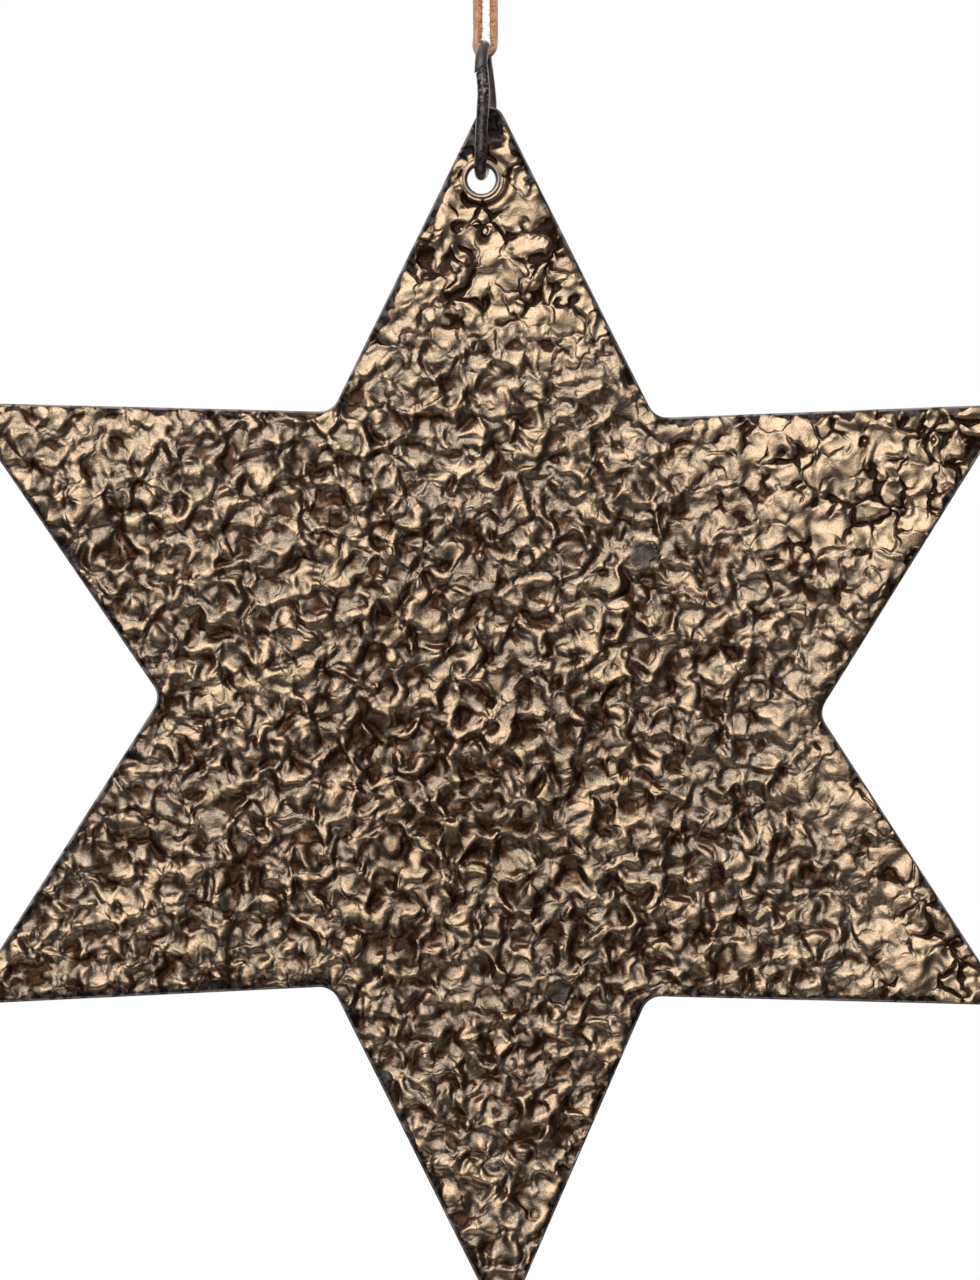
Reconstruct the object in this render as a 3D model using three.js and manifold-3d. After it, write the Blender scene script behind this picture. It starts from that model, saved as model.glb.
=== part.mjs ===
// A hanging six-armed star of cast metal plate. An oval wire link passes through a hole near the
// top tip, and a leather lace passes through the link and is tied above it in a knot.
// Millimetres, +Z up. The star faces -Y. The origin is the middle of the nail that holds the lace.
import * as THREE from 'three';
import { mergeVertices } from 'three/addons/utils/BufferGeometryUtils.js';
import Module from 'manifold-3d';

const wasm = await Module();
wasm.setup();

// Driving dimensions of the star plate
const tipRadius = 122;        // centre of the star to the sharp corner of an average arm
const notchRadius = 66;       // centre of the star to the corner between two arms
const tipRounding = 2.9;      // radius worn onto each tip
const notchRounding = 4;      // fillet between two arms
const plateThickness = 2.2;
const edgeRounding = 0.6;     // round on both edges of the plate, and on both mouths of the hole
const holeDiameter = 5.6;
const holeFromTip = 18.2;     // hole below the sharp corner of the top arm
const holeDrift = 1.7;        // hole to the left of the star's centre

// The plate is shaped by hand, so each corner strays from a regular star: by a turn in degrees
// and by a share of its radius. The top comes first, then anticlockwise as seen from the front.
const tipStrays = [
  { turn: 0, reach: 1.012 },
  { turn: 0.2, reach: 1.001 },
  { turn: -0.4, reach: 0.99 },
  { turn: 1.2, reach: 1.023 },
  { turn: 0, reach: 0.981 },
  { turn: 0.1, reach: 0.987 },
];
const notchStrays = [
  { turn: -1.8, reach: 1.012 },
  { turn: -1.6, reach: 0.997 },
  { turn: 0.6, reach: 0.975 },
  { turn: -1.4, reach: 1.001 },
  { turn: -1.2, reach: 0.996 },
  { turn: 0.2, reach: 1.006 },
];

// Driving dimensions of the wire link
const wireDiameter = 2.5;
const linkLength = 28.1;      // over the outside
const linkWidth = 12;         // over the outside
const linkTurn = -6;          // degrees that the link and the lace stand turned about the vertical
const linkSideStep = 0.6;     // link to the right of the middle of the hole
const buttGap = 0.3;          // between the two cut ends of the wire
const buttHeight = 0.2;       // the cut ends lie this far below the middle of the top bend

// Driving dimensions of the lace and its knot
const laceWidth = 2;
const laceThickness = 1.4;
const knotWidth = 7.6;
const knotDepth = 6.4;
const knotHeight = 6.6;
const tailRise = 8;           // height of the longer tail above the knot
const tailSpread = 3.6;       // how far the tails lean out sideways

// Clearance between pieces that touch on the real ornament
const seatGap = 0.3;

// The lace from the knot down the left strand, round the wire and up the right strand: [x, z]
const laceRoute = [
  [-1.5, 6],
  [-1.62, 4.6],
  [-2.1, 2.4],
  [-2.4, 0],
  [-2.4, -3],
  [-2.2, -6.5],
  [-1.85, -11],
  [-1.55, -16],
  [-1.4, -21],
  [-1.4, -26],
  [-1.55, -29.5],
  [-1.95, -32.3],
  [-2.25, -34.85],
  [-1.59, -36.44],
  [0, -37.1],
  [1.59, -36.44],
  [2.25, -34.85],
  [2.15, -32.3],
  [1.95, -29.5],
  [1.9, -26],
  [1.85, -21],
  [1.85, -16],
  [2, -11],
  [2.25, -6.5],
  [2.4, -3],
  [2.4, 0],
  [2.1, 2.4],
  [1.62, 4.6],
  [1.5, 6],
];
const laceSteps = 80;
const wireSides = 10;
const linkSteps = 58;
const roundSteps = 3;
const holeSteps = 16;

// Places that follow from the sizes, all on the vertical through the origin unless named
const laceFoldHeight = Math.min(...laceRoute.map(([, z]) => z));
const knotFoot = laceRoute[0][1] + seatGap;
const wireRadius = wireDiameter / 2;
const bendRadius = (linkWidth - wireDiameter) / 2;
const linkTop = laceFoldHeight + laceThickness / 2 + seatGap + wireRadius;
const linkBottom = linkTop - (linkLength - wireDiameter);
const topBendMiddle = linkTop - bendRadius;
const bottomBendMiddle = linkBottom + bendRadius;
const holeReach = holeDiameter / 2 - wireRadius - seatGap;
const holeHeight = tipRadius * tipStrays[0].reach - holeFromTip;
const holeX = -linkSideStep;
const holeZ = linkBottom - Math.sqrt(holeReach ** 2 - linkSideStep ** 2);
const starX = holeX + holeDrift;
const starZ = holeZ - holeHeight;

// A closed outline through corners { x, y, radius }, each corner rounded by an arc
function roundedOutline(corners) {
  const shape = new THREE.Shape();
  const count = corners.length;
  corners.forEach((corner, i) => {
    const before = corners[(i + count - 1) % count];
    const after = corners[(i + 1) % count];
    const here = new THREE.Vector2(corner.x, corner.y);
    const back = new THREE.Vector2(before.x, before.y).sub(here).normalize();
    const on = new THREE.Vector2(after.x, after.y).sub(here).normalize();
    const halfAngle = Math.acos(back.dot(on)) / 2;
    const bisector = back.clone().add(on).normalize();
    const middle = here.clone().addScaledVector(bisector, corner.radius / Math.sin(halfAngle));
    const run = corner.radius / Math.tan(halfAngle);
    const start = here.clone().addScaledVector(back, run).sub(middle);
    const end = here.clone().addScaledVector(on, run).sub(middle);
    const clockwise = back.cross(on) > 0;
    shape.absarc(middle.x, middle.y, corner.radius, start.angle(), end.angle(), clockwise);
  });
  return shape;
}

// Star plate: twelve rounded corners and the drilled hole, extruded with rounded edges
function starPlate() {
  const corner = (angle, radius, stray, rounding) => {
    const turned = THREE.MathUtils.degToRad(angle + stray.turn);
    return {
      x: radius * stray.reach * Math.cos(turned),
      y: radius * stray.reach * Math.sin(turned),
      radius: rounding,
    };
  };
  const corners = [];
  const arms = tipStrays.length;
  const armAngle = 360 / arms;
  for (let i = 0; i < arms; i += 1) {
    const tipAngle = 90 + armAngle * i;
    corners.push(corner(tipAngle, tipRadius, tipStrays[i], tipRounding));
    corners.push(corner(tipAngle + armAngle / 2, notchRadius, notchStrays[i], notchRounding));
  }
  const outline = roundedOutline(corners);
  const hole = new THREE.Path();
  hole.absarc(-holeDrift, holeHeight, holeDiameter / 2, 0, Math.PI * 2, true);
  outline.holes.push(new THREE.Path(hole.getPoints(holeSteps)));
  const geometry = new THREE.ExtrudeGeometry(outline, {
    depth: plateThickness - 2 * edgeRounding,
    bevelThickness: edgeRounding,
    bevelSize: edgeRounding,
    bevelOffset: -edgeRounding,
    bevelSegments: 2,
    curveSegments: roundSteps,
  });
  geometry.translate(0, 0, edgeRounding - plateThickness / 2);
  geometry.rotateX(Math.PI / 2);
  return geometry;
}

// The link's centreline: two straight legs and two half-round bends in the YZ plane. It starts
// and ends at the butt joint, beside the top bend on the front leg.
class LinkLine extends THREE.Curve {
  getPoint(t, target = new THREE.Vector3()) {
    const leg = topBendMiddle - bottomBendMiddle;
    const bend = Math.PI * bendRadius;
    const whole = 2 * leg + 2 * bend;
    const run = buttHeight + buttGap / 2 + t * (whole - buttGap);
    if (run <= leg) {
      return target.set(0, -bendRadius, topBendMiddle - run);
    }
    if (run <= leg + bend) {
      const angle = (run - leg) / bendRadius;
      return target.set(
        0, -bendRadius * Math.cos(angle), bottomBendMiddle - bendRadius * Math.sin(angle),
      );
    }
    if (run <= 2 * leg + bend) {
      return target.set(0, bendRadius, bottomBendMiddle + run - leg - bend);
    }
    if (run <= whole) {
      const angle = (run - 2 * leg - bend) / bendRadius;
      return target.set(
        0, bendRadius * Math.cos(angle), topBendMiddle + bendRadius * Math.sin(angle),
      );
    }
    return target.set(0, -bendRadius, topBendMiddle - (run - whole));
  }
}

function wireLink() {
  const section = new THREE.Shape();
  for (let i = 0; i < wireSides; i += 1) {
    const angle = (2 * Math.PI * i) / wireSides;
    const x = wireRadius * Math.cos(angle);
    const y = wireRadius * Math.sin(angle);
    if (i === 0) section.moveTo(x, y);
    else section.lineTo(x, y);
  }
  section.closePath();
  return new THREE.ExtrudeGeometry(section, { steps: linkSteps, extrudePath: new LinkLine() });
}

// The lace is flat, with its corners worn off: wide along Y, thin in the plane of its fold
function laceSection() {
  const w = laceWidth / 2;
  const t = laceThickness / 2;
  const flat = 0.55;
  const outline = [
    [w, -flat * t], [w, flat * t], [flat * w, t], [-flat * w, t],
    [-w, flat * t], [-w, -flat * t], [-flat * w, -t], [flat * w, -t],
  ];
  return new THREE.Shape(outline.map(([x, y]) => new THREE.Vector2(x, y)));
}

function leatherLace() {
  const route = new THREE.CatmullRomCurve3(laceRoute.map(([x, z]) => new THREE.Vector3(x, 0, z)));
  return new THREE.ExtrudeGeometry(laceSection(), { steps: laceSteps, extrudePath: route });
}

// A closed geometry as a solid that can be joined
function toSolid(geometry) {
  const bare = geometry.clone();
  bare.deleteAttribute('normal');
  bare.deleteAttribute('uv');
  const merged = mergeVertices(bare, 1e-4);
  return new wasm.Manifold(new wasm.Mesh({
    numProp: 3,
    vertProperties: new Float32Array(merged.attributes.position.array),
    triVerts: new Uint32Array(merged.index.array),
  }));
}

function toGeometry(solid) {
  const mesh = solid.getMesh();
  const geometry = new THREE.BufferGeometry();
  geometry.setAttribute('position', new THREE.BufferAttribute(mesh.vertProperties, 3));
  geometry.setIndex(new THREE.BufferAttribute(mesh.triVerts, 1));
  return geometry;
}

// Knot: a squat lump with a flat foot over the two strands, and two cut tails out of its top
function laceKnot() {
  const profile = [
    [0, 0], [0.72, 0], [0.98, 0.25], [1, 0.5], [0.86, 0.8], [0.5, 0.97], [0, 1],
  ].map(([r, h]) => new THREE.Vector2((r * knotWidth) / 2, h * knotHeight));
  const lump = new THREE.LatheGeometry(profile, 14);
  lump.rotateX(Math.PI / 2);
  lump.scale(1, knotDepth / knotWidth, 1);
  let knot = toSolid(lump);
  const tails = [{ side: -1, rise: tailRise }, { side: 1, rise: tailRise * 0.8 }];
  for (const { side, rise } of tails) {
    const root = knotWidth / 8;
    const tail = new THREE.ExtrudeGeometry(laceSection(), {
      steps: 5,
      extrudePath: new THREE.QuadraticBezierCurve3(
        new THREE.Vector3(side * root, 0, knotHeight / 2),
        new THREE.Vector3(side * root, 0, knotHeight + rise / 3),
        new THREE.Vector3(side * tailSpread, 0, knotHeight + rise),
      ),
    });
    knot = knot.add(toSolid(tail));
  }
  const geometry = toGeometry(knot);
  geometry.translate(0, 0, knotFoot);
  return geometry;
}

const bronze = new THREE.MeshStandardMaterial({ color: 0x8a6f4c, roughness: 0.4, metalness: 0.9 });
const darkWire = new THREE.MeshStandardMaterial({ color: 0x2b2422, roughness: 0.4, metalness: 0.6 });
const leather = new THREE.MeshStandardMaterial({ color: 0xb9743f, roughness: 0.75, metalness: 0 });

function namedMesh(name, geometry, material) {
  const mesh = new THREE.Mesh(geometry, material);
  mesh.name = name;
  return mesh;
}

const ornament = new THREE.Group();

const star = namedMesh('star_plate', starPlate(), bronze);
star.position.set(starX, 0, starZ);
ornament.add(star);

// The link and the lace stand turned together about the vertical
const hanger = new THREE.Group();
hanger.rotation.z = THREE.MathUtils.degToRad(linkTurn);
hanger.add(namedMesh('wire_link', wireLink(), darkWire));
hanger.add(namedMesh('leather_lace', leatherLace(), leather));
hanger.add(namedMesh('lace_knot', laceKnot(), leather));
ornament.add(hanger);

export default ornament;
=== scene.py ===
"""Star ornament: a crinkled cast star that hangs by a wire link from a knotted leather lace."""
import math

import bmesh
import bpy
import numpy as np
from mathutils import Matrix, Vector, noise
from mathutils.bvhtree import BVHTree


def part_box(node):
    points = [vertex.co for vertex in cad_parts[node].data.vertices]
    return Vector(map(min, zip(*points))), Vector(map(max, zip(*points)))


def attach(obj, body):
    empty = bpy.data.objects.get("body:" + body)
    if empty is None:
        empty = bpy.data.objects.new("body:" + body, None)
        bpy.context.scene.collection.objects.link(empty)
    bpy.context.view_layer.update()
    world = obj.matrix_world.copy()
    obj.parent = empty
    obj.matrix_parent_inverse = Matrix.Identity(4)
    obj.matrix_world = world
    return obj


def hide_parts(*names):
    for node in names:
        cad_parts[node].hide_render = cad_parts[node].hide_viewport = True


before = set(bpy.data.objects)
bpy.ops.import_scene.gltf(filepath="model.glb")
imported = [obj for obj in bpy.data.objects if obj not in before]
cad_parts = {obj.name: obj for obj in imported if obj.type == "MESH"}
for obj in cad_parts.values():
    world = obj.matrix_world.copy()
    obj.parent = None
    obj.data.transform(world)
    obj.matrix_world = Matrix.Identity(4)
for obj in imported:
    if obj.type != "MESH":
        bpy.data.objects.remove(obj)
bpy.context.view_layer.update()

# The photograph's viewpoint: far in front with a long lens, level with a point above the middle of
# the star, so that the side tips, the bottom tip and the upper lace run out of the picture.
view_middle = Vector((0.0011, 0, -0.1536))
view_height = 0.256
eye_distance = 1.2
camera_data = bpy.data.cameras.new("camera")
camera_data.sensor_width = 36
camera_data.lens = camera_data.sensor_width * eye_distance / view_height
camera = bpy.data.objects.new("camera", camera_data)
camera.location = view_middle - Vector((0, eye_distance, 0))
camera.rotation_euler = (math.radians(90), 0, 0)
bpy.context.scene.collection.objects.link(camera)
bpy.context.scene.camera = camera

# Leather lace: one strip of vegetable-tanned hide, folded under the wire with its smooth grain side
# out. Its two strands rise past the nail at the origin to the knot. The cut edges are fuzzy.
hanger_turn = math.radians(-6)
lace_across = Vector((-math.sin(hanger_turn), math.cos(hanger_turn), 0))
lace_width = 0.002
lace_thickness = 0.0014
lace_roll = math.radians(-38), math.radians(-10)
flat_power = 0.45
deep_power = 0.6
nap_swell = 0.055
nap_waves = (1.7, 1.0), (4.1, 0.7)
fold_height = -0.0362
fold_pinch = 0.34
fold_spread = 0.0022
fold_twist = 0.0035
fold_lead = 0.8
fold_clear = 0.0012
fibre_length = 0.0006
fibre_radius = 0.00007
fibre_count = 1300
lace_step = 0.0002
lace_sides = 36
lace_route = [
    (-0.0012, 0.0073),
    (-0.0015, 0.006),
    (-0.00162, 0.0046),
    (-0.0021, 0.0024),
    (-0.0024, 0),
    (-0.0024, -0.003),
    (-0.0022, -0.0065),
    (-0.00185, -0.011),
    (-0.00155, -0.016),
    (-0.0014, -0.021),
    (-0.00138, -0.026),
    (-0.00138, -0.0295),
    (-0.00138, -0.0315),
    (-0.00144, -0.0332),
    (-0.00172, -0.0347),
    (-0.00155, -0.03575),
    (-0.00095, -0.0365),
    (0.0002, -0.0368),
    (0.00112, -0.03635),
    (0.00176, -0.0355),
    (0.00193, -0.0346),
    (0.00192, -0.0332),
    (0.0019, -0.0295),
    (0.00188, -0.026),
    (0.00188, -0.021),
    (0.0019, -0.016),
    (0.002, -0.011),
    (0.00225, -0.0065),
    (0.0024, -0.003),
    (0.0024, 0),
    (0.0021, 0.0024),
    (0.00162, 0.0046),
    (0.0015, 0.006),
    (0.0012, 0.0073),
]


def turned(right, height, back=0.0):
    """A place beside the hanger's own vertical plane, in the frame."""
    across = Vector((math.cos(hanger_turn), math.sin(hanger_turn), 0))
    return across * right + lace_across * back + Vector((0, 0, height))


def smooth_path(points, step):
    """Places about a step apart on the smooth curve through the points."""
    points = np.array(points, float)
    knots = np.vstack([2 * points[0] - points[1], points, 2 * points[-1] - points[-2]])
    share = np.linspace(0, 1, 24, endpoint=False)[:, None]
    runs = []
    for before, start, end, after in zip(knots, knots[1:], knots[2:], knots[3:]):
        bend = 2 * before - 5 * start + 4 * end - after
        twist = 3 * (start - end) + after - before
        runs.append(start + 0.5 * ((end - before) * share + bend * share**2 + twist * share**3))
    dense = np.vstack(runs + [points[-1:]])
    reach = np.append(0, np.cumsum(np.linalg.norm(np.diff(dense, axis=0), axis=1)))
    even = np.linspace(0, reach[-1], round(reach[-1] / step) + 1)
    return np.stack([np.interp(even, reach, dense[:, axis]) for axis in range(3)], 1)


def tube_along(path, side, rings):
    """Vertices and faces of a closed tube. Each ring holds places to the side of the path and in."""
    ahead = np.gradient(path, axis=0)
    ahead /= np.linalg.norm(ahead, axis=1)[:, None]
    side = np.array(side) - ahead * (ahead @ np.array(side))[:, None]
    side /= np.linalg.norm(side, axis=1)[:, None]
    inward = np.cross(ahead, side)
    points = path[:, None] + rings[..., :1] * side[:, None] + rings[..., 1:2] * inward[:, None]
    if rings.shape[2] == 3:
        points = points + rings[..., 2:] * ahead[:, None]
    sides = rings.shape[1]
    faces = [tuple(range(sides)), tuple(range((len(path) - 1) * sides, len(path) * sides))]
    for first in range(0, (len(path) - 1) * sides, sides):
        for turn in range(sides):
            after = (turn + 1) % sides
            faces.append((first + turn, first + after, first + after + sides, first + turn + sides))
    return points.reshape(-1, 3), faces


def make_piece(name, points, faces, marks):
    """A smooth closed mesh object. marks are named numbers, one for each vertex."""
    mesh = bpy.data.meshes.new(name)
    mesh.from_pydata(points.tolist(), [], faces)
    for mark, values in marks.items():
        mesh.attributes.new(mark, "FLOAT", "POINT").data.foreach_set("value", values)
    shell = bmesh.new()
    shell.from_mesh(mesh)
    bmesh.ops.recalc_face_normals(shell, faces=shell.faces)
    shell.to_mesh(mesh)
    shell.free()
    mesh.polygons.foreach_set("use_smooth", [len(face.vertices) == 4 for face in mesh.polygons])
    piece = bpy.data.objects.new(name, mesh)
    bpy.context.scene.collection.objects.link(piece)
    return piece


def lace_rings(path, rolls):
    """Sections of the lace with its suede parts roughened, and how far each vertex is grain side."""
    angle = np.linspace(0, 2 * math.pi, lace_sides, endpoint=False)
    flat = lace_width / 2 * np.sign(np.cos(angle)) * np.abs(np.cos(angle)) ** flat_power
    deep = lace_thickness / 2 * np.sign(np.sin(angle)) * np.abs(np.sin(angle)) ** deep_power
    grain = np.clip(-2.2 * np.sin(angle) - 0.9, 0, 1)
    rings = np.zeros((len(path), lace_sides, 2))
    for row, place in enumerate(path):
        pinch = 1 - fold_pinch * math.exp(-(((place[2] - fold_height) / fold_spread) ** 2))
        for spot in range(lace_sides):
            here = Vector(place) * 1000 + Vector((flat[spot], 0, deep[spot])) * 1000
            nap = sum(weight * noise.noise(here * wave) for wave, weight in nap_waves)
            swell = 1 + (1 - grain[spot]) * nap_swell * nap + 0.02 * noise.noise(here * 0.5)
            rings[row, spot] = flat[spot] * swell, deep[spot] * swell * pinch
    past_fold = np.linspace(-0.5, 0.5, len(path))[:, None] * len(path) * lace_step
    turn = 0.5 + 0.5 * np.tanh(past_fold / fold_twist + fold_lead)
    roll = rolls[0] + (rolls[1] - rolls[0]) * turn
    across = rings[:, :, 0] * np.cos(roll) - rings[:, :, 1] * np.sin(roll)
    inward = rings[:, :, 0] * np.sin(roll) + rings[:, :, 1] * np.cos(roll)
    return np.stack([across, inward], 2), np.tile(grain, len(path))


def fuzz(points, path, grain, count, keep_clear):
    """Loose fibres that stand on the suede parts of a lace, as slim closed cones."""
    chance = np.random.default_rng(5)
    rings = np.array(points).reshape(len(path), lace_sides, 3)
    hairy = [spot for spot in range(lace_sides) if grain[spot] < 0.1]
    corners, faces = [], []
    for _ in range(count):
        row = chance.integers(4, len(path) - 4)
        spot = hairy[chance.integers(len(hairy))]
        length = fibre_length * chance.uniform(0.4, 1.3)
        tip = chance.normal(0, 0.5, 3)
        root = rings[row, spot]
        if root[2] < keep_clear:
            continue
        out = (root - path[row]) / np.linalg.norm(root - path[row])
        aim = out + tip
        aim /= np.linalg.norm(aim)
        across = np.cross(aim, (0.3, 0.5, 0.81))
        across /= np.linalg.norm(across)
        beside = np.cross(aim, across)
        first = len(corners)
        for turn in np.radians((0, 120, 240)):
            foot = across * math.cos(turn) + beside * math.sin(turn) - out
            corners.append(root + fibre_radius * foot)
        corners.append(root + aim * length)
        faces += [(first, first + 2, first + 1), (first, first + 1, first + 3),
                  (first + 1, first + 2, first + 3), (first + 2, first, first + 3)]
    return np.array(corners), faces


def with_fuzz(tube, path, grain, count, keep_clear=-1.0):
    """The tube of a lace with its fibres, as points, faces and each point's share of grain."""
    points, faces = tube
    corners, sides = fuzz(points, path, grain, count, keep_clear)
    faces = faces + [tuple(corner + len(points) for corner in side) for side in sides]
    return np.vstack([points, corners]), faces, np.append(grain, np.zeros(len(corners)))


def set_node(tree, kind, inputs, **settings):
    """A new node. Its inputs, named or numbered, are values or the sockets that feed them."""
    node = tree.nodes.new(kind)
    for name, value in settings.items():
        setattr(node, name, value)
    for key, value in inputs.items():
        if isinstance(value, bpy.types.NodeSocket):
            tree.links.new(value, node.inputs[key])
        else:
            node.inputs[key].default_value = value
    return node


def maths(tree, operation, *values):
    return set_node(tree, "ShaderNodeMath", dict(enumerate(values)), operation=operation).outputs[0]


def marked(tree, name):
    """The number that each vertex of a mesh carries under this name."""
    return set_node(tree, "ShaderNodeAttribute", {}, attribute_name=name).outputs["Fac"]


def shift(tree, value, low, high, start=0.0, end=1.0):
    """Goes smoothly from start to end while the value goes from low to high."""
    span = {"Value": value, "From Min": low, "From Max": high, "To Min": start, "To Max": end}
    return set_node(tree, "ShaderNodeMapRange", span, interpolation_type="SMOOTHSTEP").outputs[0]


def mottle(tree, place, size, detail=0.0, roughness=0.5):
    """Soft blotches of about this size in metres, from about -1 to 1."""
    span = {"Vector": place, "Scale": 1 / size, "Detail": detail, "Roughness": roughness}
    return set_node(tree, "ShaderNodeTexNoise", span, normalize=False).outputs[0]


def stain(tree, share, under, over):
    """Colour under, with colour over on top of it by the share."""
    span = {0: share, 6: under, 7: over}
    return set_node(tree, "ShaderNodeMix", span, data_type="RGBA").outputs[2]


def tint(red, green, blue):
    """A colour as it looks on a screen, 0 to 255, as light."""
    seen = [value / 255 for value in (red, green, blue)]
    return [value / 12.92 if value < 0.04 else ((value + 0.055) / 1.055) ** 2.4 for value in seen] + [1]


def new_finish(name):
    """A material with a Principled shader, and its tree, shader and place in the piece's own metres."""
    finish = bpy.data.materials.new(name)
    finish.use_nodes = True
    tree = finish.node_tree
    shader = tree.nodes["Principled BSDF"]
    place = set_node(tree, "ShaderNodeTexCoord", {}).outputs["Object"]
    return finish, tree, shader, place


def leather_finish():
    finish, tree, shader, place = new_finish("lace_leather")
    grain = marked(tree, "grain")
    nap = mottle(tree, place, 0.00045, 4, 0.7)
    patch = mottle(tree, place, 0.0022, 2)
    suede = stain(tree, shift(tree, nap, -0.35, 0.4), tint(150, 98, 58), tint(212, 160, 112))
    suede = stain(tree, shift(tree, patch, -0.3, 0.5, 0, 0.5), suede, tint(196, 132, 88))
    smooth = stain(tree, shift(tree, patch, -0.4, 0.4), tint(196, 132, 100), tint(220, 164, 132))
    pores = mottle(tree, place, 0.00025, 2)
    tree.links.new(stain(tree, grain, suede, smooth), shader.inputs["Base Color"])
    tree.links.new(shift(tree, grain, 0, 1, 0.95, 0.38), shader.inputs["Roughness"])
    rough = maths(tree, "MULTIPLY", nap, shift(tree, grain, 0, 1, 1, 0.15))
    rough = maths(tree, "MULTIPLY_ADD", pores, 0.2, rough)
    bump = set_node(tree, "ShaderNodeBump", {"Height": rough, "Distance": 0.00009, "Strength": 0.8})
    tree.links.new(bump.outputs[0], shader.inputs["Normal"])
    shader.inputs["Sheen Weight"].default_value = 0.15
    shader.inputs["Sheen Roughness"].default_value = 0.6
    return finish


leather = leather_finish()
lace_path = smooth_path([turned(right, height) for right, height in lace_route], lace_step)
lace_section, lace_grain = lace_rings(lace_path, lace_roll)
lace_tube = tube_along(lace_path, lace_across, lace_section)
lace_points, lace_faces, lace_grain = with_fuzz(
    lace_tube, lace_path, lace_grain, fibre_count, fold_height + fold_clear)
lace = make_piece("lace", lace_points, lace_faces, {"grain": lace_grain})
lace.data.materials.append(leather)
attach(lace, "lace")
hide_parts("leather_lace")

# Knot: both strands tied together in one overhand knot, pulled tight, with the ends cut off short
# and a little apart. The same strip of leather as the strands below it.
knot_turns = [
    (0.3, 6.0, 0.2),
    (0.25, 7.0, 0.5),
    (0.5, 8.6, 1.0),
    (1.5, 10.3, 0.9),
    (2.7, 11.1, 0.0),
    (3.0, 9.9, -0.6),
    (2.0, 8.4, -1.3),
    (0.2, 7.7, -1.7),
    (-1.9, 8.3, -1.0),
    (-2.8, 9.8, 0.1),
    (-2.1, 11.3, 0.9),
    (-0.5, 11.5, 0.6),
    (0.6, 11.0, -0.6),
    (0.5, 11.9, -0.9),
    (0.2, 13.4, -0.5),
]
knot_step = 0.0003
strand_spread = 0.00075
entry_right = 0.0015
entry_height = 0.006
entry_ease = 4.5
knot_fibre_count = 800


def in_metres(places):
    """Places beside the hanger's own plane, given in millimetres, in the frame."""
    return np.array([turned(right / 1000, up / 1000, back / 1000) for right, up, back in places])


def knot_strand(side, tail):
    """One of the two strands through the knot, side by side with the other, with its own tail."""
    middle = smooth_path(in_metres(knot_turns), knot_step)
    ahead = np.gradient(middle, axis=0)
    ahead /= np.linalg.norm(ahead, axis=1)[:, None]
    beside = np.cross(ahead, np.array(lace_across))
    beside /= np.linalg.norm(beside, axis=1)[:, None]
    strand = middle + side * strand_spread * beside
    start = np.array(turned(-side * entry_right, entry_height))
    ease = np.exp(-np.arange(len(strand)) / entry_ease)[:, None]
    strand = strand + (start - strand[0]) * ease
    path = smooth_path(np.vstack([strand[::3], in_metres(tail)]), knot_step)
    rings, grain = lace_rings(path, (0, 0))
    return with_fuzz(tube_along(path, lace_across, rings), path, grain, knot_fibre_count)


left_tail = [(-0.9, 15.6, -0.3), (-2.1, 18.2, 0.0), (-3.3, 20.9, 0.1)]
right_tail = [(1.2, 15.2, -0.3), (2.3, 17.2, -0.2), (3.4, 19.2, -0.1)]
left_points, left_faces, left_grain = knot_strand(1, left_tail)
right_points, right_faces, right_grain = knot_strand(-1, right_tail)
right_faces = [tuple(corner + len(left_points) for corner in face) for face in right_faces]
knot = make_piece("knot", np.vstack([left_points, right_points]), left_faces + right_faces,
                  {"grain": np.append(left_grain, right_grain)})
knot.data.materials.append(leather)
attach(knot, "lace")
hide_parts("lace_knot")

# Wire link: 2.5 mm iron wire, blackened and waxed, cut from a coil, bent round by pliers and butted
# on the front leg just under the top bend. It hangs in the lace and carries the star.
wire_radius = 0.00125
link_bend = 0.00475
link_step = 0.00022
wire_sides = 32
link_low, link_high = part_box("wire_link")
top_bend = link_high.z - wire_radius - link_bend
low_bend = link_low.z + wire_radius + link_bend
butt_drop = 0.0002
butt_slant = -0.75
butt_gap = 0.0001
cut_share = 0.035
bow_ease = 9
glint_height = -0.0437
glint_spread = 0.0028
front_share = 0.3
bend_fade = 0.002
rear_grey = 0.8
dent_waves = (0.5, 0.03), (1.3, 0.02)
link_bows = [
    (0, -0.08),
    (0.03, 0.14),
    (0.07, 0.36),
    (0.12, 0.2),
    (0.18, -0.06),
    (0.26, -0.2),
    (0.32, -0.5),
    (0.38, -0.72),
    (0.44, -0.5),
    (0.5, 0),
    (0.58, 0.6),
    (0.634, 0.78),
    (0.686, 0.6),
    (0.736, 0.2),
    (0.785, -0.18),
    (0.83, -0.2),
    (0.88, -0.1),
    (0.93, -0.04),
    (1, -0.26),
]


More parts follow.
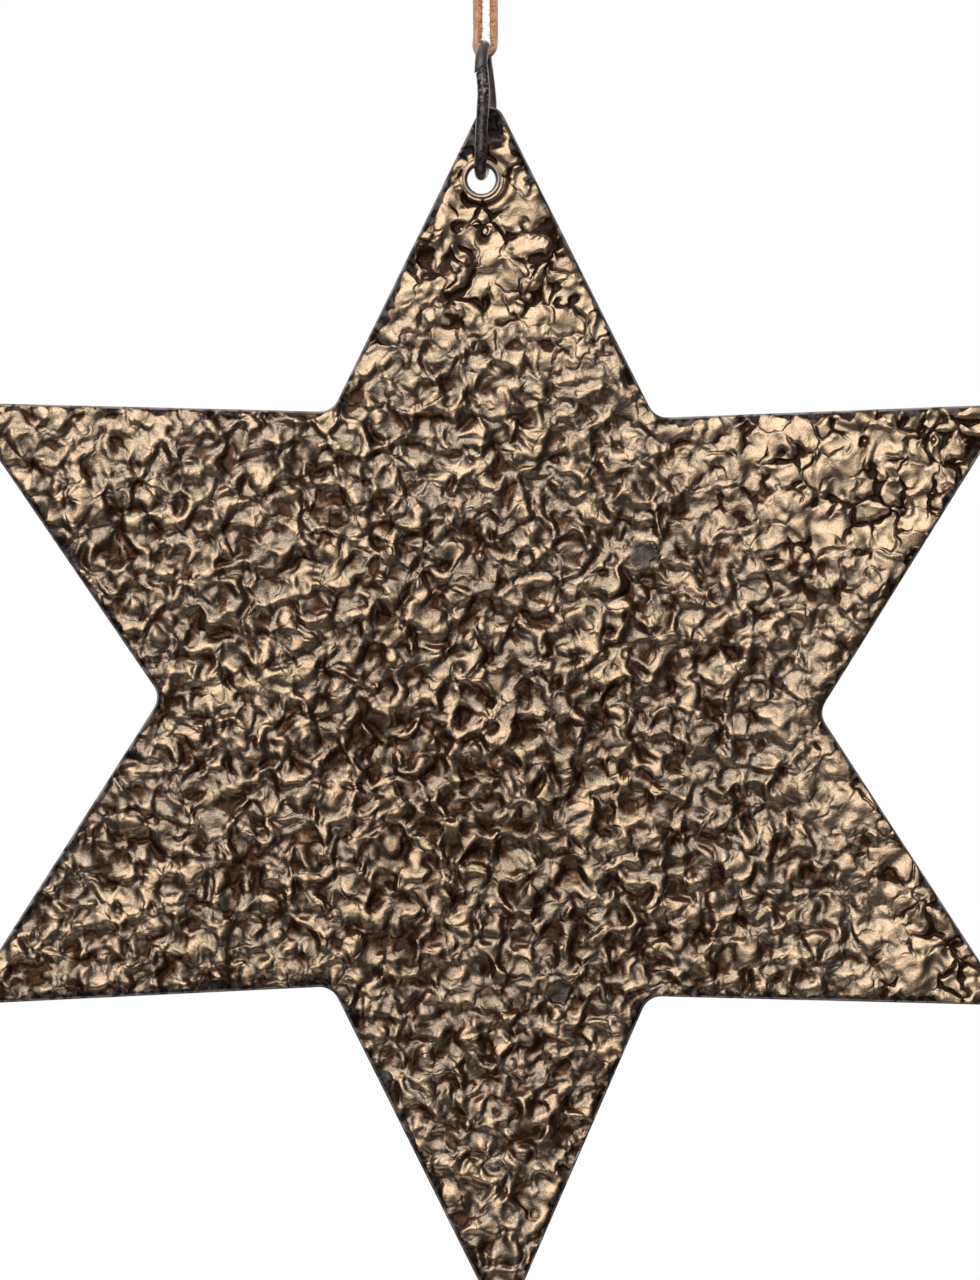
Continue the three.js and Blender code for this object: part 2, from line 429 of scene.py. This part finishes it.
def link_line():
    """Middle of the wire from the butt joint down the front leg, up the rear leg and over the top."""
    leg = top_bend - low_bend
    whole = 2 * leg + 2 * math.pi * link_bend
    run = np.linspace(butt_gap / 2, whole - butt_gap / 2, round(whole / link_step) + 1)
    height = np.empty(len(run))
    back = np.empty(len(run))
    for spot, reach in enumerate(run + butt_drop):
        if reach < leg:
            back[spot], height[spot] = -link_bend, top_bend - reach
        elif reach < leg + math.pi * link_bend:
            angle = (reach - leg) / link_bend
            back[spot] = -link_bend * math.cos(angle)
            height[spot] = low_bend - link_bend * math.sin(angle)
        elif reach < 2 * leg + math.pi * link_bend:
            back[spot], height[spot] = link_bend, low_bend + reach - leg - math.pi * link_bend
        else:
            angle = (reach - 2 * leg - math.pi * link_bend) / link_bend
            back[spot] = link_bend * math.cos(angle)
            height[spot] = top_bend + link_bend * math.sin(angle)
    share, bow = np.array(link_bows).T
    soft = np.interp(run / whole, share, bow) / 1000
    ease = np.hanning(2 * bow_ease + 1)
    soft = np.convolve(np.pad(soft, bow_ease, mode="edge"), ease / ease.sum(), "valid")
    path = [turned(right, up, away) for right, up, away in zip(soft, height, back)]
    return np.array(path), run / whole


def link_rings(path, share):
    """Sections of the wire with the pliers' dents, slanted at the two cut ends."""
    angle = np.linspace(0, 2 * math.pi, wire_sides, endpoint=False)
    rings = np.zeros((len(path), wire_sides, 3))
    for row, place in enumerate(path):
        for spot, turn in enumerate(angle):
            around = Vector((math.cos(turn), math.sin(turn), 0))
            here = Vector(place) * 1000 + around
            dent = sum(depth * noise.noise(here * wave) for wave, depth in dent_waves)
            rings[row, spot, :2] = np.array(around[:2]) * wire_radius * (1 + dent)
    slant = np.exp(-((share / cut_share) ** 2)) + np.exp(-(((1 - share) / cut_share) ** 2))
    rings[:, :, 2] = butt_slant * rings[:, :, 0] * slant[:, None]
    return rings


def wire_finish():
    finish, tree, shader, place = new_finish("blackened_iron")
    grey_share = marked(tree, "bend")
    painted_glint_zone = marked(tree, "painted_glint_zone")
    scale = mottle(tree, place, 0.0007, 3, 0.6)
    patch = mottle(tree, place, 0.003, 2)
    dark = stain(tree, shift(tree, scale, -0.3, 0.45), tint(42, 33, 31), tint(72, 62, 59))
    grey = stain(tree, shift(tree, patch, -0.4, 0.4), tint(74, 64, 63), tint(92, 82, 80))
    # Painted highlight: pale glints painted into the colour of the front leg just under the butt joint.
    glint = shift(tree, mottle(tree, place, 0.0007, 2, 0.6), 0.04, 0.32)
    glint = maths(tree, "MULTIPLY", glint, painted_glint_zone)
    coat = stain(tree, glint, stain(tree, grey_share, dark, grey), tint(146, 135, 131))
    tree.links.new(coat, shader.inputs["Base Color"])
    gloss = maths(tree, "MULTIPLY_ADD", grey_share, 0.1, shift(tree, scale, -0.5, 0.5, 0.24, 0.42))
    tree.links.new(gloss, shader.inputs["Roughness"])
    height = maths(tree, "MULTIPLY_ADD", patch, 1.5, scale)
    depth = {"Height": height, "Distance": 0.00006, "Strength": 0.9}
    tree.links.new(set_node(tree, "ShaderNodeBump", depth).outputs[0], shader.inputs["Normal"])
    shader.inputs["Metallic"].default_value = 0.35
    shader.inputs["Coat Weight"].default_value = 0.7
    shader.inputs["Coat Roughness"].default_value = 0.12
    return finish


link_path, link_share = link_line()
link_points, link_faces = tube_along(link_path, turned(1, 0), link_rings(link_path, link_share))
# The top bend and the rear leg are greyer and smoother than the rest of the wire.
bend_mark = np.clip((link_path[:, 2] - top_bend) / bend_fade + 0.6, 0, 1)
bend_mark = np.maximum(bend_mark, rear_grey * np.clip((link_share - 0.5) / 0.05, 0, 1))
# Where the painted glints lie: on the front leg, just under the joint.
glint_mark = np.exp(-(((link_path[:, 2] - glint_height) / glint_spread) ** 2)) * (link_share < front_share)
link = make_piece("link", link_points, link_faces, {
    "bend": np.repeat(bend_mark, wire_sides), "painted_glint_zone": np.repeat(glint_mark, wire_sides)})
link.data.materials.append(wire_finish())
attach(link, "link")
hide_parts("wire_link")

# Star plate: cast with a crinkled skin on both faces, cut and filed to its outline, drilled near the top
# tip, then browned all over and rubbed back to tan gold on its high places. The front's skin is
# finest at the lower left, and its gold is dullest in the middle. Its colour also holds painted shade
# and light: steep slopes, a band along the bevelled edge and the top tip are painted darker, and the
# higher crests carry a painted highlight.
star_grid = 0.0005
plate_low, plate_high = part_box("star_plate")
half_plate = plate_high.y
hole = Vector((-0.0006, 0, -0.061547))
hole_radius = 0.0028
lip_radius = 0.0036
edge_slope = 0.55
edge_roll = 0.0012
relief_unit = 0.0006
shade_unit = 0.0011
faces_apart = 0.05
finest_place = -0.04, -0.215
dullest_place = -0.005, -0.195
shaded_tip = -0.0012, -0.0515
fine_skin = {
    "size": 0.00066, "layer": 0.0, "plateau": 0.55, "swing": 1.41, "lift": 0.0,
    "depth": 1.0, "net": 0.0038, "net_depth": 0.1, "net_shade": 0.4,
}
coarse_skin = {
    "size": 0.00082, "layer": 0.02, "plateau": 0.15, "swing": 0.74, "lift": 0.27,
    "depth": 0.72, "net": 0.0052, "net_depth": 0.34, "net_shade": 1.5,
}
crest_wave = 4.8, (0.7, 0.5, 0.3)
crest_ripple = 2.8, (0.4, 1.1, 0.8), 0.38
lump_waves = [
    (8.4, (0.9, 0.2, 1.2), 1.1),
    (18, (0.2, 0.7, 1.0), 1.7),
    (1.4, (0.5, 0.8, 0.6), 0.03),
]
burr_rings = [
    (0.0035, 0.0005, 0.14),
    (0.0043, 0.0003, 0.07),
]
groove_radius = 0.0052
groove_width = 0.0014
ground_spots = [
    (0.0316, -0.1366, 0.0036),
    (0.0151, -0.2242, 0.0028),
]
pit_slope = 90
knob_slope = 260
knobbed_pits = [
    (-0.0003, -0.0729, 0.0026, 0.0004, -0.0720, 0.0012),
    (-0.0051, -0.0711, 0.0015, -0.0046, -0.0715, 0.0004),
    (-0.0021, -0.0790, 0.0010, -0.0014, -0.0794, 0.0005),
    (0.0760, -0.1138, 0.0013, 0.0760, -0.1138, 0.0004),
    (0.0875, -0.1119, 0.0012, 0.0874, -0.1118, 0.0004),
    (0.0897, -0.1136, 0.0011, 0.0898, -0.1135, 0.0004),
]


def vector_maths(tree, operation, *values):
    node = set_node(tree, "ShaderNodeVectorMath", dict(enumerate(values)), operation=operation)
    return node.outputs["Value" if operation in ("DISTANCE", "DOT_PRODUCT") else "Vector"]


def between(tree, share, start, end):
    """A number that goes from start to end with the share."""
    return set_node(tree, "ShaderNodeMix", {0: share, 2: start, 3: end}).outputs[0]


def spun(tree, place, turn):
    """The place turned about the origin, so that no pattern lies square to the plate or to another."""
    span = {"Vector": place, "Rotation": turn}
    return set_node(tree, "ShaderNodeVectorRotate", span, rotation_type="EULER_XYZ").outputs[0]


def stirred(tree, place, size, reach, start, detail=0.0):
    """The start shifted to and fro by about the reach, in swirls of this size around the place."""
    span = {"Vector": place, "Scale": 1 / size, "Detail": detail}
    swirl = set_node(tree, "ShaderNodeTexNoise", span, normalize=False).outputs["Color"]
    return vector_maths(tree, "MULTIPLY_ADD", swirl, (reach,) * 3, start)


def distance_to(tree, place, right, up):
    """How far a place is from the line that goes square through the plate here."""
    flat = vector_maths(tree, "MULTIPLY", place, (1, 0, 1))
    return vector_maths(tree, "DISTANCE", flat, (right, 0, up))


def ring(tree, reach, radius, width):
    """A soft ring: 1 where the reach is this radius, falling to 0 within the width on both sides."""
    off = maths(tree, "ABSOLUTE", maths(tree, "SUBTRACT", reach, radius))
    return shift(tree, off, 0, width, 1, 0)


def channels(tree, flat, bent, size):
    """1 in a broken net of winding channels around plateaus of about this size."""
    bent = stirred(tree, flat, size / 1.6, 0.22 * size, bent, 1)
    cells = set_node(tree, "ShaderNodeTexVoronoi", {"Vector": bent, "Scale": 1 / size},
                     feature="DISTANCE_TO_EDGE").outputs["Distance"]
    width = maths(tree, "MULTIPLY_ADD", mottle(tree, flat, 1.5 * size, 1), 0.22, 0.17)
    net = shift(tree, maths(tree, "DIVIDE", cells, maths(tree, "MAXIMUM", width, 0.1)), 1, 0)
    return maths(tree, "MULTIPLY", net, shift(tree, width, 0.06, 0.18))


def lumps(tree, flat, skin):
    """The height of a skin of flat-topped lumps with channels between them, and of the tops alone."""
    moved = vector_maths(tree, "ADD", flat, (0, skin["layer"], 0))
    bent = stirred(tree, moved, 7 * skin["size"], 2.2 * skin["size"], moved)

    def wave(length, turn):
        return mottle(tree, spun(tree, bent, turn), length * skin["size"])

    crest = maths(tree, "ADD", wave(*crest_wave), skin["lift"])
    steep = maths(tree, "SQRT", maths(tree, "MULTIPLY_ADD", crest, crest, skin["plateau"]))
    crest = maths(tree, "MULTIPLY", maths(tree, "DIVIDE", crest, steep), skin["swing"])
    length, turn, weight = crest_ripple
    crest = maths(tree, "MULTIPLY_ADD", wave(length, turn), weight, crest)
    height = crest
    for length, turn, weight in lump_waves:
        height = maths(tree, "MULTIPLY_ADD", wave(length, turn), weight, height)
    channel = channels(tree, flat, bent, skin["net"])
    height = maths(tree, "MULTIPLY", height, skin["size"] * 1000 * skin["depth"])
    height = maths(tree, "MULTIPLY_ADD", channel, -skin["net_depth"], height)
    return height, maths(tree, "MULTIPLY_ADD", channel, -skin["net_shade"], crest)


def crinkle(tree, place):
    """The skin at a place on either face, in any node tree: its height from about -1 to 1, the height of
    its lumps' tops, the distance from the hole, and how far it is coarse, ground down or a pit."""
    parts = set_node(tree, "ShaderNodeSeparateXYZ", {0: place}).outputs
    layer = maths(tree, "MULTIPLY", maths(tree, "SIGN", parts[1]), faces_apart)
    flat = set_node(tree, "ShaderNodeCombineXYZ", {0: parts[0], 1: layer, 2: parts[2]}).outputs[0]
    flat = spun(tree, flat, (0.5, 0.35, 0.9))
    front = shift(tree, parts[1], 0, -0.0001)
    fine, fine_crest = lumps(tree, flat, fine_skin)
    coarse, coarse_crest = lumps(tree, flat, coarse_skin)
    region = maths(tree, "MULTIPLY_ADD", distance_to(tree, place, *finest_place), 18, -2.0)
    region = maths(tree, "MULTIPLY_ADD", mottle(tree, flat, 0.05), 0.6, region)
    share = maths(tree, "MULTIPLY", shift(tree, region, -0.1, 0.5), shift(tree, front, 0, 1, 0.3, 1))
    height = between(tree, share, fine, coarse)
    crest = between(tree, share, fine_crest, coarse_crest)
    from_hole = distance_to(tree, place, hole.x, hole.z)
    height = maths(tree, "MULTIPLY", height, shift(tree, from_hole, lip_radius, lip_radius + 0.002))

    ragged = maths(tree, "MULTIPLY", mottle(tree, flat, 0.002, 1), 0.0011)
    pit = 0.0
    for right, up, radius, knob_right, knob_up, knob_radius in knobbed_pits:
        off = maths(tree, "MULTIPLY_ADD", ragged, 0.4, distance_to(tree, place, right, up))
        bowl = maths(tree, "MULTIPLY", shift(tree, off, 1.2 * radius, 0.4 * radius), front)
        knob = shift(tree, distance_to(tree, place, knob_right, knob_up), knob_radius, 0.5 * knob_radius)
        pit_floor = -pit_slope * radius - 0.25
        level = maths(tree, "MULTIPLY_ADD", knob, knob_slope * knob_radius + 0.1, pit_floor)
        height = between(tree, bowl, height, level)
        pit = maths(tree, "MAXIMUM", pit, maths(tree, "MULTIPLY", bowl, maths(tree, "SUBTRACT", 1, knob)))

    ground = 0.0
    for right, up, radius in ground_spots:
        spot = maths(tree, "ADD", ragged, distance_to(tree, place, right, up))
        spot = maths(tree, "MULTIPLY", shift(tree, spot, 1.1 * radius, 0.6 * radius), front)
        ground = maths(tree, "MAXIMUM", ground, spot)
    height = maths(tree, "MULTIPLY", height, shift(tree, ground, 0, 1, 1, 0.3))

    from_gap = distance_to(tree, place, hole.x - 0.002, hole.z + 0.004)
    groove = maths(tree, "MULTIPLY", ring(tree, from_hole, groove_radius, groove_width),
                   shift(tree, from_gap, 0.006, 0.0085))
    height = maths(tree, "MULTIPLY_ADD", groove, -0.35, height)
    pit = maths(tree, "MAXIMUM", pit, maths(tree, "MULTIPLY", groove, front))
    for radius, width, rise in burr_rings:
        height = maths(tree, "MULTIPLY_ADD", ring(tree, from_hole, radius, width), rise, height)
    return height, crest, from_hole, share, ground, pit


def star_plate():
    """The cut plate with an even fine mesh, and each vertex's distance from the cut edge."""
    plate = bpy.data.objects.new("star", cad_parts["star_plate"].data.copy())
    plate.data.materials.clear()
    bpy.context.scene.collection.objects.link(plate)
    walls = [face for face in plate.data.polygons
             if abs(face.normal.y) < 0.95 and (face.center - hole).length > 2 * hole_radius]
    places = [(corner.co.x, corner.co.y, corner.co.z) for corner in plate.data.vertices]
    rim = BVHTree.FromPolygons(places, [tuple(face.vertices) for face in walls])
    remesh = plate.modifiers.new("even", "REMESH")
    remesh.mode = "VOXEL"
    remesh.voxel_size = star_grid
    even = bpy.data.meshes.new_from_object(plate.evaluated_get(bpy.context.evaluated_depsgraph_get()))
    plate.modifiers.clear()
    plate.data = even
    even.name = "star"
    edge = np.empty(len(even.vertices))
    lean = np.zeros((len(even.vertices), 3))
    for spot, corner in enumerate(even.vertices):
        inner = Vector((corner.co.x, 0, corner.co.z))
        wall = rim.find_nearest(inner)[0]
        edge[spot] = (wall - inner).length
        outward = (wall - inner) / max(edge[spot], 0.0002)
        lean[spot] = outward * edge_slope * math.exp(-edge[spot] / edge_roll)
    even.attributes.new("edge", "FLOAT", "POINT").data.foreach_set("value", edge)
    even.attributes.new("lean", "FLOAT_VECTOR", "POINT").data.foreach_set("vector", lean.ravel())
    even.polygons.foreach_set("use_smooth", [True] * len(even.polygons))
    return plate


def raise_relief(plate):
    """Moves the plate's faces out and in by the crinkled relief, for good."""
    tree = bpy.data.node_groups.new("relief", "GeometryNodeTree")
    tree.interface.new_socket("Geometry", in_out="INPUT", socket_type="NodeSocketGeometry")
    tree.interface.new_socket("Geometry", in_out="OUTPUT", socket_type="NodeSocketGeometry")
    start = tree.nodes.new("NodeGroupInput")
    place = tree.nodes.new("GeometryNodeInputPosition").outputs[0]
    height = crinkle(tree, place)[0]
    across = set_node(tree, "ShaderNodeSeparateXYZ", {0: place}).outputs[1]
    out = maths(tree, "MULTIPLY", maths(tree, "MULTIPLY", across, relief_unit / half_plate), height)
    move = set_node(tree, "ShaderNodeCombineXYZ", {1: out}).outputs[0]
    moved = set_node(tree, "GeometryNodeSetPosition", {"Geometry": start.outputs[0], "Offset": move})
    end = tree.nodes.new("NodeGroupOutput")
    tree.links.new(moved.outputs[0], end.inputs[0])
    plate.modifiers.new("relief", "NODES").node_group = tree
    raised = bpy.data.meshes.new_from_object(plate.evaluated_get(bpy.context.evaluated_depsgraph_get()))
    plate.modifiers.clear()
    plate.data = raised
    raised.name = "star"


def bronze_finish():
    finish, tree, shader, place = new_finish("browned_casting")
    height, crest, from_hole, share, ground, pit = crinkle(tree, place)
    across = set_node(tree, "ShaderNodeSeparateXYZ", {0: place}).outputs[1]
    edge = marked(tree, "edge")
    grit = mottle(tree, place, 0.0004, 3, 0.6)

    lean = set_node(tree, "ShaderNodeAttribute", {}, attribute_name="lean").outputs["Vector"]
    level = set_node(tree, "ShaderNodeCombineXYZ", {1: maths(tree, "SIGN", across)}).outputs[0]
    level = set_node(tree, "ShaderNodeVectorTransform", {0: vector_maths(tree, "ADD", level, lean)},
                     vector_type="NORMAL", convert_from="OBJECT", convert_to="WORLD").outputs[0]
    face = maths(tree, "MULTIPLY", shift(tree, edge, 0.0003, 0.0009),
                 shift(tree, from_hole, hole_radius + 0.0001, hole_radius + 0.0005))
    own = set_node(tree, "ShaderNodeNewGeometry", {}).outputs["Normal"]
    base = set_node(tree, "ShaderNodeMix", {0: face, 4: own, 5: level}, data_type="VECTOR").outputs[1]
    skin = maths(tree, "MULTIPLY_ADD", grit, 0.015, height)
    bump = set_node(tree, "ShaderNodeBump", {"Height": skin, "Distance": shade_unit, "Normal": base})
    tree.links.new(bump.outputs[0], shader.inputs["Normal"])

    upright = vector_maths(tree, "DOT_PRODUCT", bump.outputs[0], level)
    # Painted shade: steep slopes of the skin are painted darker, level ones lighter.
    slope_painted_light = shift(tree, maths(tree, "MULTIPLY_ADD", grit, 0.02, upright), 0.74, 0.97)
    high = shift(tree, maths(tree, "MULTIPLY_ADD", grit, 0.06, crest), -0.95, -0.2)
    high = between(tree, high, shift(tree, share, 0, 1, 0.15, 0.06), 1.0)
    # The share of gold: the rubbed-back high places, with painted slope shade and edge shade in it as
    # well.
    rubbed_and_painted_light = maths(tree, "MULTIPLY", shift(tree, slope_painted_light, 0, 1, 0.22, 1), high)
    # Painted shade: a dark band along the bevelled cut edge and at the top tip, narrower on edges that
    # face right and up.
    inward = maths(tree, "MULTIPLY_ADD", mottle(tree, place, 0.004, 2), 0.0018, edge)
    facing_light = vector_maths(tree, "DOT_PRODUCT", lean, (1, 0, 0.4))
    inward = maths(tree, "MULTIPLY_ADD", facing_light, 0.0016, inward)
    tip = distance_to(tree, place, *shaded_tip)
    tip = maths(tree, "MULTIPLY_ADD", mottle(tree, place, 0.003, 2), 0.0015, tip)
    clear = maths(tree, "MULTIPLY", shift(tree, inward, 0.0004, 0.0019), shift(tree, tip, 0.0045, 0.0065))
    rubbed_and_painted_light = maths(tree, "MULTIPLY", rubbed_and_painted_light, shift(tree, clear, 0, 1, 0.05, 1))
    rubbed_and_painted_light = maths(tree, "MULTIPLY", rubbed_and_painted_light, shift(tree, pit, 0, 1, 1, 0.1))
    drilled = shift(tree, from_hole, 0.0042, lip_radius)
    rubbed_and_painted_light = maths(tree, "MAXIMUM", rubbed_and_painted_light, drilled)
    tone = maths(tree, "MULTIPLY", distance_to(tree, place, *dullest_place), 5.5)
    tone = maths(tree, "MULTIPLY_ADD", mottle(tree, place, 0.03, 1), 0.15, tone)
    tone = shift(tree, tone, -0.15, 0.75)
    rubbed_and_painted_light = maths(tree, "MULTIPLY", rubbed_and_painted_light, shift(tree, tone, 0, 1, 0.9, 1.8))

    # A dull grey-tan, used for dark specks, for the dull middle and, by a quarter, on the back face.
    dull_tan = tint(112, 88, 66)
    specks = mottle(tree, place, 0.00022, 1)
    # Partly painted highlight: the higher crests are painted a warmer, brighter gold, and broad random
    # patches are warmer too.
    warm_tone_and_highlight = maths(tree, "MULTIPLY_ADD", mottle(tree, place, 0.02, 2), 0.4, crest)
    gold = stain(tree, share, tint(174, 153, 133), tint(231, 199, 166))
    gold = stain(tree, shift(tree, warm_tone_and_highlight, -0.1, 0.5), gold, tint(239, 204, 168))
    gold = stain(tree, shift(tree, specks, 0.05, 0.4, 0, 0.45), gold, tint(248, 226, 192))
    gold = stain(tree, shift(tree, specks, -0.05, -0.45, 0, 0.4), gold, dull_tan)
    gold = stain(tree, shift(tree, tone, 0, 1, 0.2, 0), gold, dull_tan)
    gold = stain(tree, shift(tree, across, -0.0001, 0.0001, 0, 0.25), gold, dull_tan)
    brown = stain(tree, shift(tree, grit, -0.4, 0.4), tint(29, 16, 9), tint(61, 38, 24))
    # The painted edge shade is a mottled dark grey.
    edge_shade_mottle = shift(tree, mottle(tree, place, 0.0016, 2), -0.2, 0.3)
    brown = stain(tree, clear, stain(tree, edge_shade_mottle, tint(36, 29, 27), tint(88, 80, 77)), brown)
    coat = stain(tree, shift(tree, rubbed_and_painted_light, 0.05, 0.5), brown, tint(116, 81, 55))
    coat = stain(tree, shift(tree, rubbed_and_painted_light, 0.2, 0.95), coat, gold)
    coat = stain(tree, maths(tree, "MULTIPLY", ground, 0.8), coat, tint(80, 76, 78))
    # A light grey line along the very edge: filed bare metal, and partly a painted reflection of the
    # edge's rim.
    coat = stain(tree, shift(tree, edge, 0.0006, 0.0003), coat, tint(150, 140, 134))
    coat = stain(tree, drilled, coat, tint(218, 198, 178))
    tree.links.new(coat, shader.inputs["Base Color"])
    tree.links.new(shift(tree, rubbed_and_painted_light, 0, 1, 0.46, 0.37), shader.inputs["Roughness"])
    tree.links.new(shift(tree, rubbed_and_painted_light, 0, 0.6, 0.75, 1), shader.inputs["Metallic"])
    return finish


star = star_plate()
raise_relief(star)
star.data.materials.append(bronze_finish())
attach(star, "star")
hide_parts("star_plate")

# Studio: a pale floor a good way under the hanging star, one large soft lamp above and in front on the
# right, and a weaker one on the left. The surround is white to the camera and where the metal mirrors
# what lies behind the part. In front it is dark, with one bright window high on the left.
star_middle = Vector((0.0011, 0, -0.16681))
floor_drop = 1.3
floor_size = 1.4
window_right = -0.18
window_up = 0.42
window_glow = 2.1
dark_glow = 0.02


def hang_lamp(name, place, size, power):
    lamp_data = bpy.data.lights.new(name, "AREA")
    lamp_data.size = size
    lamp_data.energy = power
    lamp = bpy.data.objects.new(name, lamp_data)
    lamp.location = place
    lamp.visible_camera = False
    lamp.visible_glossy = False
    lamp.rotation_euler = (star_middle - Vector(place)).to_track_quat("-Z", "Y").to_euler()
    bpy.context.scene.collection.objects.link(lamp)


hang_lamp("key_lamp", (0.45, -1.0, 0.85), 0.7, 16)
hang_lamp("fill_lamp", (-0.9, -0.8, 0.1), 0.8, 5)

surround = bpy.data.worlds.new("surround")
surround.use_nodes = True
air = surround.node_tree
rays = set_node(air, "ShaderNodeLightPath", {}).outputs
toward = set_node(air, "ShaderNodeTexCoord", {}).outputs["Generated"]
from_window = distance_to(air, toward, window_right, window_up)
window = shift(air, from_window, 0.1, 0.8, window_glow, dark_glow)
toward_parts = set_node(air, "ShaderNodeSeparateXYZ", {0: toward}).outputs
off_level = maths(air, "ABSOLUTE", maths(air, "SUBTRACT", toward_parts[2], 0.05))
behind = maths(air, "MULTIPLY", shift(air, toward_parts[1], 0.3, 0.65),
               shift(air, off_level, 0.15, 0.5, 1, 0))
mirrored = maths(air, "MAXIMUM", rays["Is Glossy Ray"], rays["Is Transmission Ray"])
white = maths(air, "MAXIMUM", maths(air, "MULTIPLY", mirrored, behind), rays["Is Camera Ray"])
air.links.new(between(air, white, window, 1.0), air.nodes["Background"].inputs["Strength"])
air.nodes["Background"].inputs["Color"].default_value = (1, 1, 1, 1)
bpy.context.scene.world = surround

floor_height = plate_low.z - floor_drop
floor_corners = [(x * floor_size / 2, y * floor_size / 2, floor_height)
                 for x, y in ((-1, -1), (1, -1), (1, 1), (-1, 1))]
floor_mesh = bpy.data.meshes.new("floor")
floor_mesh.from_pydata(floor_corners, [], [(0, 1, 2, 3)])
floor = bpy.data.objects.new("floor", floor_mesh)
bpy.context.scene.collection.objects.link(floor)
paper = bpy.data.materials.new("floor_paper")
paper.use_nodes = True
sheet = paper.node_tree
sheet.nodes.remove(sheet.nodes["Principled BSDF"])
chalk = set_node(sheet, "ShaderNodeBsdfDiffuse", {"Color": (0.85, 0.85, 0.85, 1)}).outputs[0]
glowing = set_node(sheet, "ShaderNodeEmission", {"Strength": 1.0}).outputs[0]
rays = set_node(sheet, "ShaderNodeLightPath", {}).outputs
looked_at = maths(sheet, "MAXIMUM", rays["Is Camera Ray"], rays["Is Glossy Ray"])
looked_at = maths(sheet, "MAXIMUM", looked_at, rays["Is Transmission Ray"])
spot = set_node(sheet, "ShaderNodeTexCoord", {}).outputs["Object"]
outward = vector_maths(sheet, "DISTANCE", spot, (0, 0, floor_height))
fade = maths(sheet, "MULTIPLY", looked_at, shift(sheet, outward, 0.2, 0.65, 0.6, 1))
blend = set_node(sheet, "ShaderNodeMixShader", {0: fade, 1: chalk, 2: glowing}).outputs[0]
sheet.links.new(blend, sheet.nodes["Material Output"].inputs["Surface"])
floor.data.materials.append(paper)

bpy.context.scene.view_settings.view_transform = "Standard"
